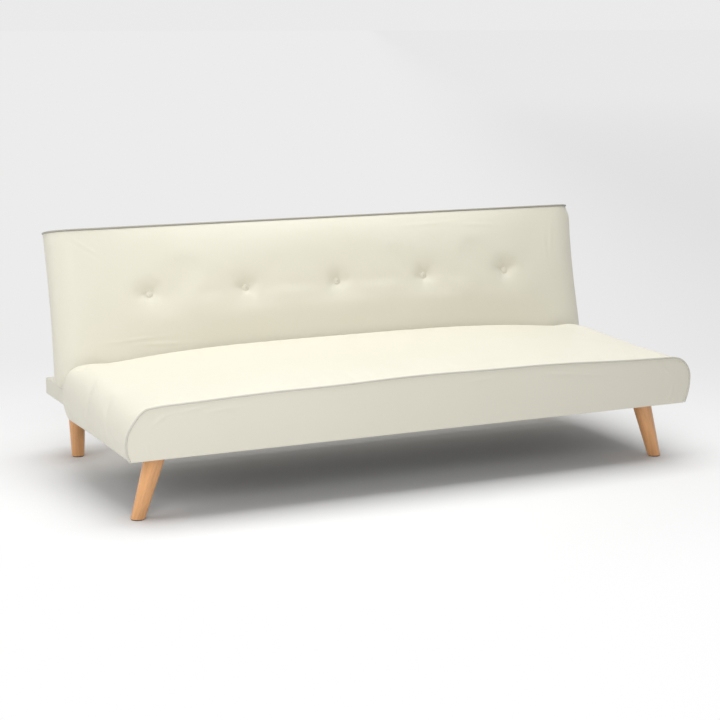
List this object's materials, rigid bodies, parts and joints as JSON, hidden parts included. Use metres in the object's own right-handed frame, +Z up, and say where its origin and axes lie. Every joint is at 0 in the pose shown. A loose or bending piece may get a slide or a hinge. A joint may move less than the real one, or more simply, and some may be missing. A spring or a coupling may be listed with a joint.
{
  "type": "sofa bed",
  "caption": "Armless three-seat sofa bed with a button-tufted backrest that unlocks and folds down flat behind the seat, in cream leatherette on tapered wooden legs.",
  "frame": {"origin": "centre of the footprint on the floor, under the middle of the bounding box", "axes": "+X along the width to the sofa's right seen from the front, -Y faces the front, +Z up"},
  "size_m": [1.8, 0.9194, 0.7257],
  "materials": {
    "leatherette": "satin",
    "leg_wood": "satin",
    "frame_wood": "matte",
    "foam": "matte",
    "felt": "matte",
    "dust_cloth": "matte",
    "zinc_steel": "satin",
    "black_steel": "satin",
    "glide_plastic": "matte",
    "cord_twine": "matte"
  },
  "bodies": {
    "base": {"seat_cover": "leatherette", "seat_front_panel": "leatherette", "seat_piping": "leatherette", "tail_cover_left": "leatherette", "tail_cover_right": "leatherette", "rear_rail_cover": "leatherette", "leg_front_left": "leg_wood", "leg_front_right": "leg_wood", "leg_rear_left": "leg_wood", "leg_rear_right": "leg_wood", "side_rail_left": "frame_wood", "side_rail_right": "frame_wood", "front_rail": "frame_wood", "middle_rail": "frame_wood", "rear_rail": "frame_wood", "centre_stretcher": "frame_wood", "leg_blocks": "frame_wood", "deck_front_strip": "frame_wood", "deck_rear_strip": "frame_wood", "deck_side_strips": "frame_wood", "seat_foam": "foam", "seat_skirt_foam": "foam", "felt_pad": "felt", "dust_cover": "dust_cloth", "leg_plates": "zinc_steel", "leg_plate_screws": "zinc_steel", "hanger_bolts": "zinc_steel", "frame_screws": "zinc_steel", "deck_screws": "zinc_steel", "seat_springs": "zinc_steel", "spring_clips": "zinc_steel", "bracket_screws": "zinc_steel", "hinge_pins": "zinc_steel", "hinge_washers": "zinc_steel", "bracket_studs": "zinc_steel", "pawl_springs": "zinc_steel", "hinge_bracket_left": "black_steel", "hinge_bracket_right": "black_steel", "foot_glides": "glide_plastic"},
    "backrest": {"back_bottom_rail": "frame_wood", "back_top_rail": "frame_wood", "back_stiles": "frame_wood", "back_middle_stiles": "frame_wood", "back_board": "frame_wood", "back_frame_screws": "zinc_steel", "back_foam": "foam", "back_edge_foam": "foam", "back_cover": "leatherette", "back_rear_panel": "leatherette", "back_end_panel": "leatherette", "back_piping": "leatherette", "back_buttons": "leatherette", "button_cords": "cord_twine", "cord_discs": "glide_plastic", "hinge_arm_left": "black_steel", "hinge_arm_right": "black_steel", "arm_screws": "zinc_steel"},
    "pawl_left": {"pawl_left": "black_steel"},
    "pawl_right": {"pawl_right": "black_steel"}
  },
  "joints": [
    {"name": "back_fold", "type": "hinge", "parent": "base", "child": "backrest", "pos_m": [0, 0.17725, 0.297], "axis": [1, 0, 0], "range_deg": [-79, 11]},
    {"name": "pawl_left_swing", "type": "hinge", "parent": "base", "child": "pawl_left", "pos_m": [-0.8055, 0.15313, 0.24949], "axis": [1, 0, 0], "range_deg": [0, 7.5]},
    {"name": "pawl_right_swing", "type": "hinge", "parent": "base", "child": "pawl_right", "pos_m": [0.8055, 0.15313, 0.24949], "axis": [1, 0, 0], "range_deg": [0, 7.5]}
  ]
}
